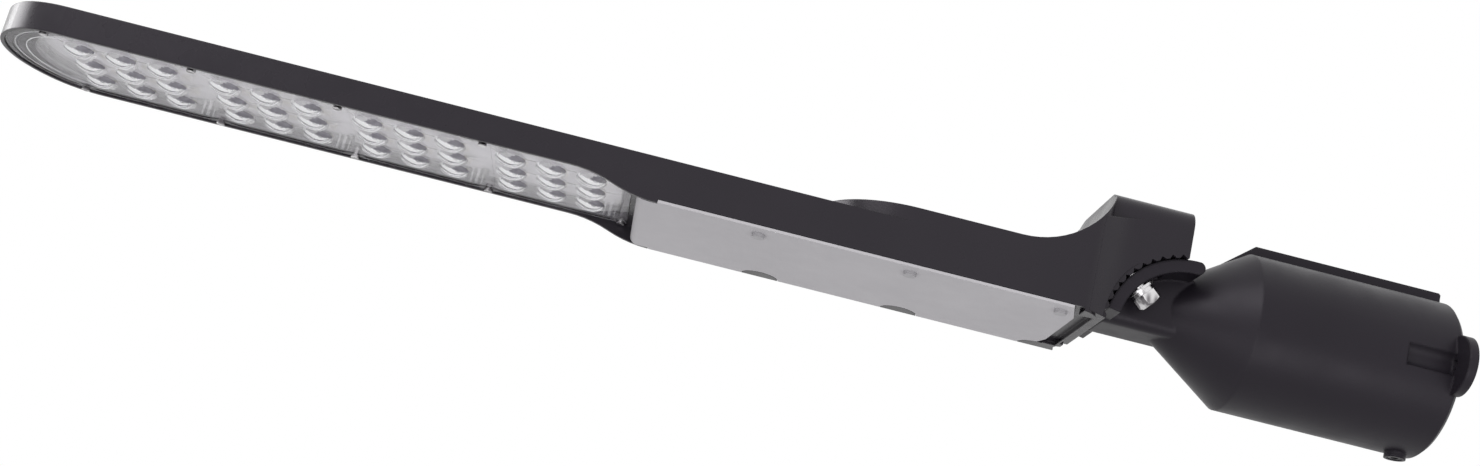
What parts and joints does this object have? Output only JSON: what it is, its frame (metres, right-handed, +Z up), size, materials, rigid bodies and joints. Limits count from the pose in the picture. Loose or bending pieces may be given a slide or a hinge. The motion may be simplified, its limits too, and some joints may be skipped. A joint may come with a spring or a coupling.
{
  "type": "street light head",
  "caption": "Slim LED street light head: lens array under a long flat housing, driver bay behind, and a toothed tilting joint on a round pole socket.",
  "frame": {"origin": "Centre of the pole socket's mouth, on the socket's axis", "axes": "+X out of the socket's mouth towards the pole, +Z up with the lenses facing down (-Z), +Y across the head"},
  "size_m": [0.8139, 0.1226, 0.1012],
  "materials": {
    "housing_paint": "satin anthracite powder coat",
    "bracket_paint": "satin anthracite powder coat",
    "clear_lens": "clear moulded polycarbonate",
    "board_white": "white solder mask",
    "led_emitter": "yellow phosphor",
    "cover_grey": "matte light grey coat",
    "seal": "black silicone",
    "light_seal": "light grey silicone",
    "driver_case": "plain aluminium case",
    "black_plastic": "matte black plastic",
    "white_plastic": "matte white plastic",
    "stainless": "bright stainless steel"
  },
  "bodies": {
    "bracket": {"pole_bracket": "bracket_paint", "duct_bush": "seal", "pole_set_screw": "stainless"},
    "head": {"housing": "housing_paint", "lens_plate": "clear_lens", "lens_gasket": "light_seal", "led_board_1": "board_white", "led_board_2": "board_white", "led_board_3": "board_white", "led_board_4": "board_white", "led_chips": "led_emitter", "lens_screws": "stainless", "board_screws": "stainless", "driver_cover": "cover_grey", "cover_gasket": "seal", "cover_screws": "stainless", "led_driver": "driver_case", "driver_screws": "stainless", "surge_protector": "black_plastic", "surge_screws": "stainless", "terminal_block": "white_plastic", "terminal_screws": "stainless", "cable_clamp": "white_plastic", "cable_clamp_screws": "stainless", "clamp_bolts": "stainless", "flat_washers": "stainless", "spring_washers": "stainless"}
  },
  "joints": [
    {"name": "tilt", "type": "hinge", "parent": "bracket", "child": "head", "pos_m": [-0.152, 0, -0.0217], "axis": [0, 1, 0], "range_deg": [-14.4, 14.4]}
  ]
}
